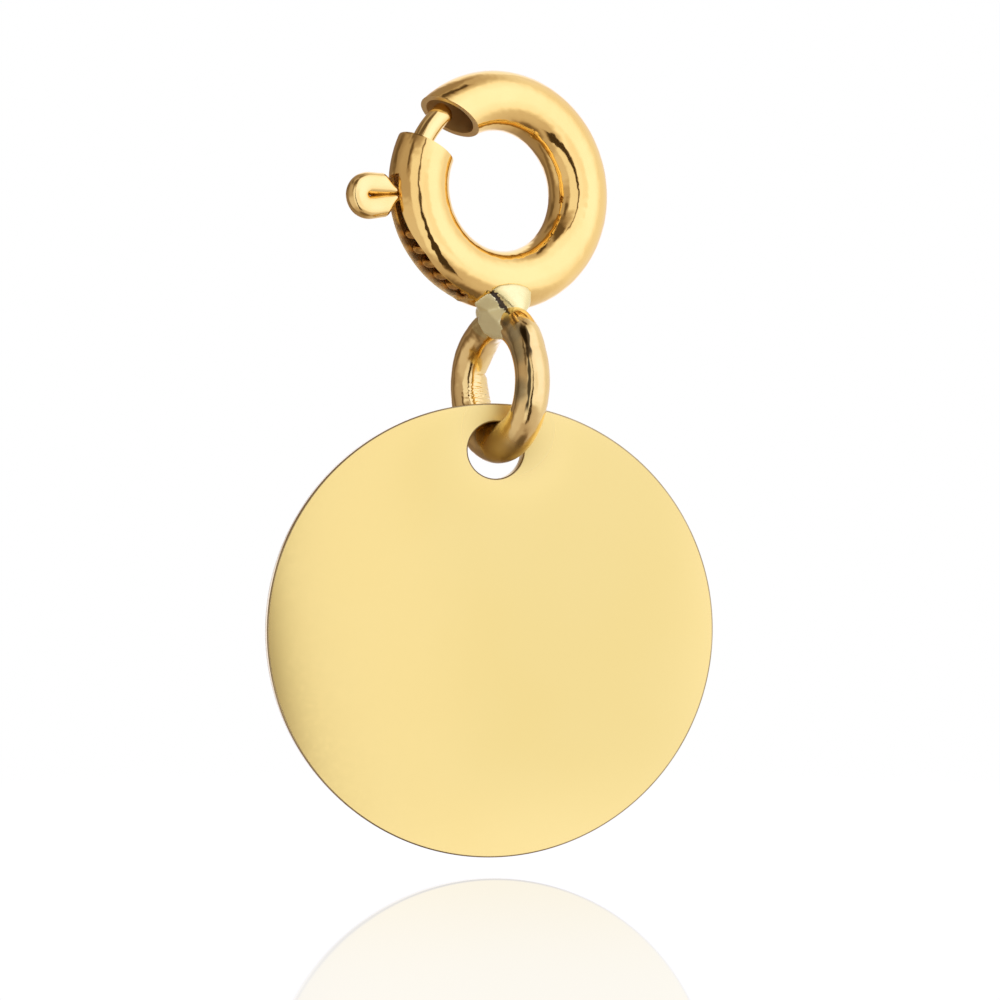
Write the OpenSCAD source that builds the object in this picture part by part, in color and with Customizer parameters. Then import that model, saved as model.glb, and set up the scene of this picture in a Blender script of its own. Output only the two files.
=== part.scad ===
// Disc charm on a spring ring clasp, in millimetres.
// The clasp ring stands in the XZ plane, and its front looks along -Y.
// The origin is the top of the clasp's inner opening, where a chain link carries the charm.
// Angles round the clasp count from +X towards +Z, about the clasp's centre.

/* [Clasp ring] */
// Outer diameter of the clasp ring
ring_outer_d = 6.4; // [6:0.1:7]
// Outer diameter of the bent tube
tube_d = 1.6; // [1.5:0.05:1.7]
// Wall thickness of the tube
tube_wall = 0.15; // [0.12:0.01:0.18]
// Width of the straight saw cut that makes the mouth
mouth_w = 1.085; // [0.8:0.005:1.2]
// Direction of that cut, from the clasp's centre outwards
mouth_angle = 151.3; // [148:0.1:154]
// How far the cut reaches below the line through the clasp's centre
mouth_drop = 0.21; // [0:0.01:0.3]
// Slant of the upper face of the cut, whose front is cut back further than its back
mouth_slant = 6; // [0:0.5:7]

/* [Slot and stop] */
// Width of the slot that the thumb piece travels in
slot_w = 0.84; // [0.76:0.01:0.88]
// Angle of the upper end of the slot
slot_start_angle = 176; // [172:0.5:177]
// Angle of the lower end of the slot
slot_end_angle = 249; // [245:1:252]
// Angle of the face inside the tube that the spring pushes on
stop_angle = 292; // [290:1:294]
// Thickness of that stop along the tube
stop_t = 0.3; // [0.2:0.05:0.4]

/* [Bolt] */
// Diameter of the bolt's wire
bolt_d = 0.57; // [0.5:0.01:0.6]
// How far the bolt's wire lies outside the centre line of the tube
bolt_offset = 0.18; // [0.1:0.01:0.2]
// Angle that the bolt's round tip reaches inside the upper end of the tube
bolt_tip_angle = 127; // [120:1:128]
// Diameter of the foot that slides in the tube
foot_d = 1.04; // [0.9:0.02:1.1]
// Angle of the end of the foot that the spring bears on
foot_end_angle = 201; // [196:1:202]

/* [Thumb piece] */
// Angle of the thumb piece with the clasp closed
thumb_angle = 185.5; // [184:0.5:187]
// Distance from the clasp's centre to the tip of the thumb piece
thumb_reach = 4.5; // [4.4:0.05:4.7]
// Height of the hairpin bend over both strands
thumb_h = 1.22; // [1.2:0.01:1.26]
// Thickness of the strand where it bends
strand_d = 0.6; // [0.56:0.01:0.6]
// Thickness of each strand where it enters the slot
strand_root_d = 0.36; // [0.34:0.02:0.42]

/* [Spring] */
// Outer diameter of the coil
coil_d = 1.22; // [1:0.02:1.24]
// Diameter of the spring's wire
coil_wire_d = 0.19; // [0.14:0.01:0.19]
// Number of turns
coil_turns = 9; // [7:0.5:9]

/* [Link ring and solder] */
// Outer diameter of the link ring
link_outer_d = 4.16; // [4:0.02:4.3]
// Diameter of the link ring's wire
link_wire_d = 0.92; // [0.88:0.01:0.94]
// Depth that the link ring sinks into the bottom of the clasp ring
link_sink = 0.15; // [0.12:0.01:0.25]
// Turn of the link ring about the vertical, off square to the clasp ring
link_turn = 3.5; // [0:0.5:5]
// Diameter of the lump of solder, seen from the front
solder_d = 1.1; // [1:0.05:1.2]
// Reach of the lump of solder in front of the clasp's plane
solder_front = 0.95; // [0.9:0.05:1]
// Reach of the lump of solder behind the clasp's plane
solder_back = 0.6; // [0.5:0.05:0.9]
// Width of the flat at each end of the lump
solder_flat_d = 0.7; // [0.5:0.05:0.8]
// Height of the middle of the lump over the bottom of the clasp ring
solder_rise = 0.12; // [0:0.02:0.2]

/* [Disc] */
// Diameter of the disc
disc_d = 12; // [11:0.5:14]
// Thickness of the disc
disc_t = 0.5; // [0.4:0.05:0.5]
// Diameter of the hole that the link ring passes through
hole_d = 1.5; // [1.5:0.01:1.6]
// Width of metal left between the hole and the disc's edge
hole_rim = 0.49; // [0.4:0.01:0.6]
// Play between the top of the hole and the top of the lowest stretch of the link's wire
hole_play = 0.15; // [0.13:0.01:0.17]
// How far the middle of the hole hangs to the left of the link ring's middle
hole_left = 0.06; // [0:0.01:0.08]
// How far the middle of the hole hangs behind the link ring's middle
hole_back = 0.19; // [0:0.01:0.2]
// Turn of the hanging disc about the vertical
disc_turn = -17.5; // [-20:0.5:-10]
// Lean of the disc's lower end to the back
disc_lean = 1.5; // [0:0.5:4]
// Turn of the disc in its own plane about the middle of the hole
disc_roll = -0.5; // [-1:0.1:1]

/* [Hidden] */
gold = "#f0cf7c";
pale_gold = "#f5dc9a";
spring_gold = "#a8752c";
$fn = 96;
strand_fn = 48;
// Overlap that makes a cut or a join run past a surface
past = 0.05;

ring_r = (ring_outer_d - tube_d) / 2;
tube_r = tube_d / 2;
bore_r = tube_r - tube_wall;
// Height of the clasp's centre: the origin is at the top of the opening in the ring
ring_z = -(ring_r - tube_r);
outer_r = ring_r + tube_r;

bolt_r = ring_r + bolt_offset;
// The foot also reaches this far above the thumb piece
foot_lead_angle = 4;
// Free angle at each end of the spring, which its end turns lie within
coil_end_angle = 2.5;
bend_r = (thumb_h - strand_d) / 2;
bend_at = thumb_reach - thumb_h / 2;
// Distance out at which the strands are closest, and how far each then lies off the middle
root_at = outer_r - tube_wall + past;
root_half = 0.08;
// Distance out at which they are full and side by side, and the way from there to the root
neck_at = outer_r + 0.26;
neck_l = norm([neck_at - root_at, bend_r - root_half]);
neck_tilt = atan2(bend_r - root_half, neck_at - root_at);

coil_start_angle = foot_end_angle + coil_end_angle;
coil_stop_angle = stop_angle - coil_end_angle;
coil_r = (coil_d - coil_wire_d) / 2;
coil_sides = 6;
coil_steps_per_turn = 16;
// Share of the coil's length that its direction is measured over
coil_nudge = 0.001;

link_r = (link_outer_d - link_wire_d) / 2;
link_z = ring_z - outer_r + link_sink - link_outer_d / 2;
solder_z = ring_z - outer_r + solder_rise;
// Stretch of the bore that the neck is cut away from, each way from the bottom
neck_half_angle = 35;

// The hole hangs on the lowest stretch of the link's wire
hole_z = link_z - (link_r - link_wire_d / 2) + hole_play - hole_d / 2;
// Drop from the middle of the hole to the middle of the disc
disc_drop = disc_d / 2 - hole_rim - hole_d / 2;

// Stands what is drawn flat in XY up in the XZ plane, about the clasp's centre
module in_ring_plane() {
    translate([0, 0, ring_z]) rotate([90, 0, 0]) children();
}

// A stretch of round bar bent about the clasp's centre
module bent_bar(r, bar_r, from, to) {
    rotate([0, 0, from]) rotate_extrude(angle = to - from) translate([r, 0]) circle(bar_r);
}

// The space between the two ends of the tube, flat on both sides
module mouth() {
    upper = mouth_drop - mouth_w;
    slant = tube_d * tan(mouth_slant);
    rotate([0, 0, mouth_angle])
        translate([ring_r - tube_d, 0, 0])
            rotate([90, 0, 90])
                linear_extrude(2 * tube_d)
                    polygon([
                        [mouth_drop, -tube_d],
                        [mouth_drop, tube_d],
                        [upper - slant, tube_d],
                        [upper + slant, -tube_d]
                    ]);
}

// The slot along the outer side of the tube, cut deep enough to clear its curved wall
module slot() {
    depth = 2 * tube_wall + 2 * past;
    rotate([0, 0, slot_start_angle])
        rotate_extrude(angle = slot_end_angle - slot_start_angle)
            translate([outer_r - depth, -slot_w / 2])
                square([2 * depth, slot_w]);
}

module tube_ring() {
    stop_deg = (stop_t / ring_r) * 180 / PI;
    difference() {
        rotate_extrude() translate([ring_r, 0]) circle(tube_r);
        difference() {
            rotate_extrude() translate([ring_r, 0]) circle(bore_r);
            // What is left here is the stop
            rotate([0, 0, stop_angle])
                rotate_extrude(angle = stop_deg)
                    translate([ring_r - tube_r, -tube_r])
                        square(tube_d);
        }
        mouth();
        slot();
    }
}

// Lump of solder between the clasp ring and the link ring
module solder() {
    chamfer = (solder_d - solder_flat_d) / 2;
    translate([0, 0, solder_z])
        rotate([90, 0, 0])
            rotate_extrude()
                polygon([
                    [0, -solder_back],
                    [solder_flat_d / 2, -solder_back],
                    [solder_d / 2, chamfer - solder_back],
                    [solder_d / 2, solder_front - chamfer],
                    [solder_flat_d / 2, solder_front],
                    [0, solder_front]
                ]);
}

module link_ring() {
    translate([0, 0, link_z])
        rotate([0, 90, link_turn])
            rotate_extrude() translate([link_r, 0]) circle(link_wire_d / 2);
}

module clasp_shell() {
    color(gold) {
        in_ring_plane() tube_ring();
        difference() {
            union() {
                solder();
                link_ring();
            }
            // The neck stays out of the tube's bore
            in_ring_plane() bent_bar(ring_r, tube_r - past, 270 - neck_half_angle, 270 + neck_half_angle);
        }
    }
}

// One strand of the hairpin, from its pinched root to the bend
module strand() {
    translate([root_at, root_half, 0])
        rotate([0, 0, neck_tilt])
            rotate([0, 90, 0])
                cylinder(d1 = strand_root_d, d2 = strand_d, h = neck_l, $fn = strand_fn);
    translate([neck_at, bend_r, 0]) {
        sphere(d = strand_d, $fn = strand_fn);
        rotate([0, 90, 0]) cylinder(d = strand_d, h = bend_at - neck_at, $fn = strand_fn);
    }
}

module thumb_piece() {
    rotate([0, 0, thumb_angle]) {
        translate([bend_at, 0, 0])
            rotate([0, 0, -90])
                rotate_extrude(angle = 180, $fn = strand_fn)
                    translate([bend_r, 0]) circle(d = strand_d);
        strand();
        mirror([0, 1, 0]) strand();
        // Both strands run on into the foot
        for (side = [-1, 1])
            translate([ring_r, side * root_half, 0])
                rotate([0, 90, 0])
                    cylinder(d = strand_root_d, h = root_at - ring_r + past, $fn = strand_fn);
    }
}

module bolt() {
    tip_angle = bolt_tip_angle + asin(bolt_d / 2 / bolt_r);
    color(pale_gold) in_ring_plane() {
        bent_bar(bolt_r, bolt_d / 2, tip_angle, thumb_angle);
        rotate([0, 0, tip_angle]) translate([bolt_r, 0, 0]) sphere(d = bolt_d);
        bent_bar(ring_r, foot_d / 2, thumb_angle - foot_lead_angle, foot_end_angle);
        thumb_piece();
    }
}

// Point on the middle of the spring's wire at share s of its length
function coil_turn(s) = 360 * coil_turns * s;
function coil_way(s) = coil_start_angle + (coil_stop_angle - coil_start_angle) * s;
function coil_out(s) =
    [cos(coil_turn(s)) * cos(coil_way(s)), cos(coil_turn(s)) * sin(coil_way(s)), sin(coil_turn(s))];
function coil_point(s) =
    ring_r * [cos(coil_way(s)), sin(coil_way(s)), 0] + coil_r * coil_out(s);
function unit(v) = v / norm(v);

// Ring of points round the wire at share s
function coil_ring(s) =
    let (
        along = unit(coil_point(s + coil_nudge) - coil_point(s - coil_nudge)),
        side = unit(cross(along, coil_out(s))),
        out = cross(side, along)
    )
    [for (k = [0 : coil_sides - 1])
        let (turn = k * 360 / coil_sides)
        coil_point(s) + coil_wire_d / 2 * (cos(turn) * out + sin(turn) * side)];

module spring() {
    rings = coil_turns * coil_steps_per_turn;
    points = [for (i = [0 : rings]) each coil_ring(i / rings)];
    last = rings * coil_sides;
    skin = [for (i = [0 : rings - 1], k = [0 : coil_sides - 1])
        let (n = (k + 1) % coil_sides)
        [i * coil_sides + k, i * coil_sides + n, (i + 1) * coil_sides + n, (i + 1) * coil_sides + k]];
    first_cap = [for (k = [coil_sides - 1 : -1 : 0]) k];
    last_cap = [for (k = [0 : coil_sides - 1]) last + k];
    color(spring_gold)
        in_ring_plane()
            polyhedron(points = points, faces = concat([first_cap], skin, [last_cap]));
}

module disc() {
    color(pale_gold)
        translate([-hole_left, hole_back, hole_z])
            rotate([disc_lean, 0, disc_turn])
                rotate([90, 0, 0])
                    rotate([0, 0, disc_roll])
                        difference() {
                            translate([0, -disc_drop, 0]) cylinder(d = disc_d, h = disc_t, center = true);
                            cylinder(d = hole_d, h = disc_t + 2 * past, center = true);
                        }
}

clasp_shell();
bolt();
spring();
disc();
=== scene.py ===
"""Dressed model of a gold disc charm on a spring ring clasp.

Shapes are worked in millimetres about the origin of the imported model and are
scaled to metres when a piece is finished. Angles round the clasp count from
+X towards +Z about the middle of the clasp ring, seen from the front.
"""

import math

import bmesh
import bpy
from mathutils import Matrix, Vector, noise


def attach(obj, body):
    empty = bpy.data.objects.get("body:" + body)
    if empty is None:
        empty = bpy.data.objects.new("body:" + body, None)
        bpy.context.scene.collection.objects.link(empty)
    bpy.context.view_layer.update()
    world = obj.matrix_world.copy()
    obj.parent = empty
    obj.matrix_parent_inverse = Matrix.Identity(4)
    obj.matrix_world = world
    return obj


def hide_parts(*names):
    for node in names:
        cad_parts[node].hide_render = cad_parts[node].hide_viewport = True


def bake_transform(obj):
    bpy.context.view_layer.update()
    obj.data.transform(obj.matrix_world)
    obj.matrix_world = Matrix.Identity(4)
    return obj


bl_info = {
    "name": "Disc charm",
    "version": (1, 0, 0),
    "blender": (4, 5, 0),
    "location": "3D View > Sidebar > Charm",
    "description": "Builds a gold disc charm on a spring ring clasp, with its studio",
    "category": "Object",
}

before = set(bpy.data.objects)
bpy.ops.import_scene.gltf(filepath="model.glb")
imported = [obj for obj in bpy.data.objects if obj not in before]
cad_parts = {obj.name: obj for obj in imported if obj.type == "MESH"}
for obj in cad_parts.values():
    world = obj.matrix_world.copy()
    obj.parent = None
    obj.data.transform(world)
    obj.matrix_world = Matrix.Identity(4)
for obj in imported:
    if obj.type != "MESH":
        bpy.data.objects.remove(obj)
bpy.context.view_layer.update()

MM = 0.001
FULL_TURN = 2 * math.pi
RING_AXIS = Vector((0, -1, 0))
CLASP_CENTRE = Vector((0, 0, -1.6))
LINK_CENTRE = Vector((0, 0, -6.73))
DISC_HOLE_CENTRE = Vector((-0.06, 0.19, -8.49))
RING_R = 2.4
TUBE_R = 0.8
WALL = 0.15
BORE_R = TUBE_R - WALL


def deg(angle):
    """Radians of an angle in degrees."""
    return math.radians(angle)


def smooth_step(low, high, value):
    """0 below low, 1 above high, and an S curve between them."""
    share = min(1.0, max(0.0, (value - low) / (high - low)))
    return share * share * (3 - 2 * share)


def table(pairs, value):
    """Reads a value between pairs of (place, amount), held level past both ends."""
    if value <= pairs[0][0]:
        return pairs[0][1]
    for (a, low), (b, high) in zip(pairs, pairs[1:]):
        if value <= b:
            return low + (high - low) * (value - a) / (b - a)
    return pairs[-1][1]


def spread(start, end, count):
    """Values at equal steps from start, which is left out, to end."""
    return [start + (end - start) * step / count for step in range(1, count + 1)]


class ClaspSizes(bpy.types.PropertyGroup):
    """Sizes of the clasp ring, its slot and its link ring."""

    slot_start: bpy.props.FloatProperty(
        name="Slot start", description="Angle of the upper end of the slot",
        default=deg(176), min=deg(170), max=deg(178), subtype="ANGLE")
    slot_end: bpy.props.FloatProperty(
        name="Slot end", description="Angle of the lower end of the slot",
        default=deg(249), min=deg(240), max=deg(252), subtype="ANGLE")
    mouth_angle: bpy.props.FloatProperty(
        name="Mouth", description="Direction of the saw cut that makes the mouth",
        default=deg(151.3), min=deg(148), max=deg(154), subtype="ANGLE")
    mouth_w: bpy.props.FloatProperty(
        name="Mouth width", description="Width of that cut",
        default=1.085 * MM, min=0.8 * MM, max=1.2 * MM, unit="LENGTH", precision=5)
    mouth_slant: bpy.props.FloatProperty(
        name="Mouth slant", description="Slant of that cut's upper face, which lies open to the front",
        default=deg(6), min=deg(0), max=deg(7), subtype="ANGLE")
    link_r: bpy.props.FloatProperty(
        name="Link radius", description="Radius of the middle line of the link ring",
        default=1.62 * MM, min=1.5 * MM, max=1.7 * MM, unit="LENGTH", precision=5)
    link_wire_r: bpy.props.FloatProperty(
        name="Link wire", description="Radius of the wire of the link ring",
        default=0.46 * MM, min=0.4 * MM, max=0.5 * MM, unit="LENGTH", precision=5)
    link_turn: bpy.props.FloatProperty(
        name="Link turn", description="Turn of the link ring about the vertical",
        default=deg(3.5), min=deg(0), max=deg(5), subtype="ANGLE")


class BoltSizes(bpy.types.PropertyGroup):
    """Sizes of the bolt, its thumb piece and the spring behind it."""

    wire_r: bpy.props.FloatProperty(
        name="Bolt wire", description="Radius of the wire of the bolt",
        default=0.285 * MM, min=0.25 * MM, max=0.3 * MM, unit="LENGTH", precision=5)
    thumb_angle: bpy.props.FloatProperty(
        name="Thumb piece", description="Angle of the thumb piece with the clasp closed",
        default=deg(185.5), min=deg(184), max=deg(187), subtype="ANGLE")
    strand_r: bpy.props.FloatProperty(
        name="Strand", description="Radius of the thumb piece's wire where it bends",
        default=0.305 * MM, min=0.28 * MM, max=0.305 * MM, unit="LENGTH", precision=5)
    coil_turns: bpy.props.FloatProperty(
        name="Turns", description="Number of turns of the spring", default=9.6, min=7, max=10)
    coil_wire_r: bpy.props.FloatProperty(
        name="Spring wire", description="Radius of the wire of the spring",
        default=0.115 * MM, min=0.08 * MM, max=0.115 * MM, unit="LENGTH", precision=5)


class DiscSizes(bpy.types.PropertyGroup):
    """Sizes of the disc."""

    radius: bpy.props.FloatProperty(
        name="Radius", description="Radius of the disc",
        default=6 * MM, min=5 * MM, max=7 * MM, unit="LENGTH", precision=5)
    thickness: bpy.props.FloatProperty(
        name="Thickness", description="Thickness of the disc",
        default=0.5 * MM, min=0.4 * MM, max=0.5 * MM, unit="LENGTH", precision=5)
    hole_r: bpy.props.FloatProperty(
        name="Hole", description="Radius of the hole that the link ring passes through",
        default=0.75 * MM, min=0.74 * MM, max=0.8 * MM, unit="LENGTH", precision=5)
    turn: bpy.props.FloatProperty(
        name="Turn", description="Turn of the hanging disc about the vertical",
        default=deg(-17.5), min=deg(-20), max=deg(-10), subtype="ANGLE")


class Finishes(bpy.types.PropertyGroup):
    """Colours of the metals."""

    clasp_gold: bpy.props.FloatVectorProperty(
        name="Clasp gold", description="Colour of the polished clasp",
        default=(0.98, 0.70, 0.24), min=0, max=1, subtype="COLOR")
    link_gold: bpy.props.FloatVectorProperty(
        name="Link gold", description="Colour of the link ring",
        default=(0.94, 0.71, 0.29), min=0, max=1, subtype="COLOR")
    bore_gold: bpy.props.FloatVectorProperty(
        name="Inside of the tube", description="Colour of the unpolished metal in the tube",
        default=(0.66, 0.42, 0.14), min=0, max=1, subtype="COLOR")
    solder_gold: bpy.props.FloatVectorProperty(
        name="Solder", description="Colour of the pale solder",
        default=(0.95, 0.82, 0.37), min=0, max=1, subtype="COLOR")
    # The spring's colour is brass darkened to orange-brown: painted shade
    spring_gold_with_shade: bpy.props.FloatVectorProperty(
        name="Spring", description="Colour of the drawn wire of the spring",
        default=(0.80, 0.46, 0.11), min=0, max=1, subtype="COLOR")
    disc_gold: bpy.props.FloatVectorProperty(
        name="Disc gold", description="Colour of the polished disc",
        default=(0.895, 0.709, 0.256), min=0, max=1, subtype="COLOR")


def node_input(node, name, value):
    """Sets a socket of a shader node, or links another node's socket to it."""
    socket = node.inputs[name]
    if isinstance(value, bpy.types.NodeSocket):
        node.id_data.links.new(value, socket)
    else:
        socket.default_value = value


class NodeBench:
    """Adds nodes to one node tree in short calls."""

    def __init__(self, tree):
        self.tree = tree
        self.tree.nodes.clear()

    def add(self, kind, inputs=None, **settings):
        """Adds a node with values or links for its sockets, and its own settings."""
        node = self.tree.nodes.new(kind)
        for name, value in settings.items():
            setattr(node, name, value)
        for name, value in (inputs or {}).items():
            node_input(node, name, value)
        return node

    def maths(self, operation, a, b=0.0):
        """Result of a sum, a product or the like of a and b."""
        return self.add("ShaderNodeMath", {0: a, 1: b}, operation=operation).outputs[0]

    def distance(self, place, middle):
        """How far a place lies from a middle that is given in millimetres."""
        node = self.add(
            "ShaderNodeVectorMath", {0: place, 1: Vector(middle) * MM}, operation="DISTANCE")
        return node.outputs["Value"]

    def ramp(self, value, low, high, to_low=0.0, to_high=1.0):
        """Leads a value over smoothly from to_low at low to to_high at high."""
        node = self.add("ShaderNodeMapRange", {
            "Value": value, "From Min": low, "From Max": high,
            "To Min": to_low, "To Max": to_high}, interpolation_type="SMOOTHSTEP")
        return node.outputs["Result"]

    def mix(self, factor, a, b):
        """Colour a where the factor is 0 and colour b where it is 1."""
        node = self.add("ShaderNodeMix", data_type="RGBA")
        node_input(node, 0, factor)
        node_input(node, 6, a)
        node_input(node, 7, b)
        return node.outputs[2]


def rgba(colour):
    """Colour with an alpha of one."""
    return (*colour, 1.0)


# Values of the noise between which the tone and the gloss go from one end to the other
TONE_SPAN = (0.35, 0.7)
GLOSS_SPAN = (0.35, 0.65)
# In millimetres: how far noise frays the edges of patches, which are stains and painted light and
# shade, and of the streaks of painted reflection, how soft a streak's sides and ends are, and
# between which depths streaks fade in towards the front
FLOW_FRAY = 0.5
STREAK_FRAY = 0.10
STREAK_SOFT = 0.015
STREAK_FADE = 0.25
STREAK_DEPTHS = (-1.3, -1.45)
# Pattern scale per metre and height in millimetres of the ridges that pliers leave
BITE_SCALE = 2600.0
BITE_HEIGHT = 0.02


def metal(
        name, colour, deep, roughness, wave, grain, patch=700, flow=(), streaks=(), bite=None,
        metallic=1.0):
    """Polished metal whose tone, gloss and surface vary a little over the piece.

    colour and deep are the two tones, and roughness is its least and its most. wave and
    grain are pairs of pattern scale per metre and bump height in hundredths of a
    millimetre, for the slow waves of hand polishing and for its fine scratches. patch is
    the scale of the tones. flow holds patches of another colour, which are stains, painted
    shade and painted light: place, reach and softness in millimetres, colour and roughness.
    streaks are upright dark lines on the front, painted reflections: x, half width, lower
    and upper end in millimetres, and colour. bite is a place and a reach in millimetres
    where pliers left level ridges.
    """
    material = bpy.data.materials.new(name)
    material.use_nodes = True
    bench = NodeBench(material.node_tree)
    place = bench.add("ShaderNodeTexCoord").outputs["Object"]
    tone = bench.add("ShaderNodeTexNoise", {
        "Vector": place, "Scale": patch, "Detail": 3.0, "Roughness": 0.55}).outputs["Fac"]
    fine = bench.add("ShaderNodeTexNoise", {
        "Vector": place, "Scale": grain[0], "Detail": 2.0, "Roughness": 0.6}).outputs["Fac"]
    slow = bench.add("ShaderNodeTexNoise", {
        "Vector": place, "Scale": wave[0], "Detail": 1.0, "Roughness": 0.4}).outputs["Fac"]
    base = bench.mix(bench.ramp(tone, *TONE_SPAN), rgba(colour), rgba(deep))
    both = bench.maths("MULTIPLY", bench.maths("ADD", tone, fine), 0.5)
    gloss = bench.ramp(both, *GLOSS_SPAN, *roughness)
    for middle, reach, soft, over, dull in flow:
        ragged = bench.maths(
            "ADD", bench.distance(place, middle), bench.maths("MULTIPLY", tone, FLOW_FRAY * MM))
        edge = reach + FLOW_FRAY / 2
        mask = bench.ramp(ragged, (edge + soft) * MM, (edge - soft) * MM)
        base = bench.mix(mask, base, rgba(over))
        gloss = bench.maths("MAXIMUM", gloss, bench.maths("MULTIPLY", mask, dull))
    # Streaks: upright dark lines on the front, painted reflections
    for x, half, foot, top, over in streaks:
        side, deep_in, rise = bench.add("ShaderNodeSeparateXYZ", {0: place}).outputs
        away = bench.maths("ABSOLUTE", bench.maths("SUBTRACT", side, x * MM))
        ragged = bench.maths("ADD", away, bench.maths("MULTIPLY", slow, STREAK_FRAY * MM))
        edge = half + STREAK_FRAY / 2
        mask = bench.ramp(ragged, (edge + STREAK_SOFT) * MM, (edge - STREAK_SOFT) * MM)
        for value, low, high in (
                (rise, foot - STREAK_FADE, foot), (rise, top, top - STREAK_FADE),
                (deep_in, *STREAK_DEPTHS)):
            mask = bench.maths("MULTIPLY", mask, bench.ramp(value, low * MM, high * MM))
        base = bench.mix(mask, base, rgba(over))
    hills = bench.add("ShaderNodeBump", {
        "Height": slow, "Strength": 1.0, "Distance": wave[1] * 0.01 * MM})
    if bite:
        middle, reach = bite
        near = bench.ramp(bench.distance(place, middle), reach * MM, reach * 0.5 * MM)
        ridges = bench.add("ShaderNodeTexWave", {
            "Vector": place, "Scale": BITE_SCALE, "Distortion": 3.0, "Detail": 2.0,
            "Detail Scale": 2.0}, bands_direction="Z").outputs["Fac"]
        hills = bench.add("ShaderNodeBump", {
            "Height": bench.maths("MULTIPLY", ridges, near), "Strength": 1.0,
            "Distance": BITE_HEIGHT * MM, "Normal": hills.outputs[0]})
    scratches = bench.add("ShaderNodeBump", {
        "Height": fine, "Strength": 1.0, "Distance": grain[1] * 0.01 * MM,
        "Normal": hills.outputs[0]})
    shader = bench.add("ShaderNodeBsdfPrincipled", {
        "Base Color": base, "Metallic": metallic, "Roughness": gloss,
        "Normal": scratches.outputs[0]})
    bench.add("ShaderNodeOutputMaterial", {"Surface": shader.outputs[0]})
    return material


def circle(bm, radius, sides, place):
    """Loop of edges round a circle, put in its place; returns its vertices."""
    return bmesh.ops.create_circle(
        bm, cap_ends=False, radius=radius, segments=sides, matrix=place)["verts"]


def edges_of(verts):
    """Edges that run between these vertices, in the same order each time."""
    chosen = set(verts)
    linked = dict.fromkeys(e for v in verts for e in v.link_edges)
    return [e for e in linked if set(e.verts) <= chosen]


def draw_wire(bm, radius, sides, places):
    """Draws a circle out along a row of places, each of them a matrix, and closes both ends."""
    loop = edges_of(circle(bm, radius, sides, places[0]))
    bmesh.ops.contextual_create(bm, geom=loop)
    here = places[0]
    for place in places[1:]:
        made = bmesh.ops.extrude_edge_only(bm, edges=loop)["geom"]
        verts = [g for g in made if isinstance(g, bmesh.types.BMVert)]
        loop = edges_of(verts)
        bmesh.ops.transform(bm, matrix=place @ here.inverted(), verts=verts)
        here = place
    bmesh.ops.contextual_create(bm, geom=loop)


def ring_place(angle, radius, scale=1.0):
    """Place on the clasp ring: turned to an angle in degrees, at a radius, along the tube."""
    turn = Matrix.Rotation(deg(angle), 4, RING_AXIS)
    return turn @ Matrix.Translation((radius, 0, 0)) @ Matrix.Scale(scale, 4)


def round_clasp(angle, reach=RING_R, depth=0.0):
    """Point at an angle in degrees round the clasp's middle, a reach from it, at a depth."""
    return Vector((reach * math.cos(deg(angle)), depth, reach * math.sin(deg(angle))))


def clasp_angle(point):
    """Angle in degrees of a point round the clasp's middle, from 0 to 360."""
    return math.degrees(math.atan2(point.z, point.x)) % 360


def finish_piece(name, bm, materials, sharp=40.0, centre=Vector((0, 0, 0))):
    """Turns a bmesh in millimetres into a piece in metres, smooth but for its sharp edges."""
    bmesh.ops.recalc_face_normals(bm, faces=bm.faces[:])
    bmesh.ops.translate(bm, vec=centre, verts=bm.verts[:])
    bmesh.ops.scale(bm, vec=(MM, MM, MM), verts=bm.verts[:])
    mesh = bpy.data.meshes.new(name)
    bm.to_mesh(mesh)
    bm.free()
    mesh.polygons.foreach_set("use_smooth", [True] * len(mesh.polygons))
    mesh.set_sharp_from_angle(angle=deg(sharp))
    for material in materials:
        mesh.materials.append(material)
    piece = bpy.data.objects.new(name, mesh)
    bpy.context.scene.collection.objects.link(piece)
    return piece


# Painted shade: a dark patch in the corner between the solder and the front leg of the link ring, laid
# on like a stain
PAINTED_CORNER_SHADE = ((-0.35, -1.0, -5.16), 0.10, 0.10, (0.26, 0.21, 0.10), 0.3)


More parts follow.
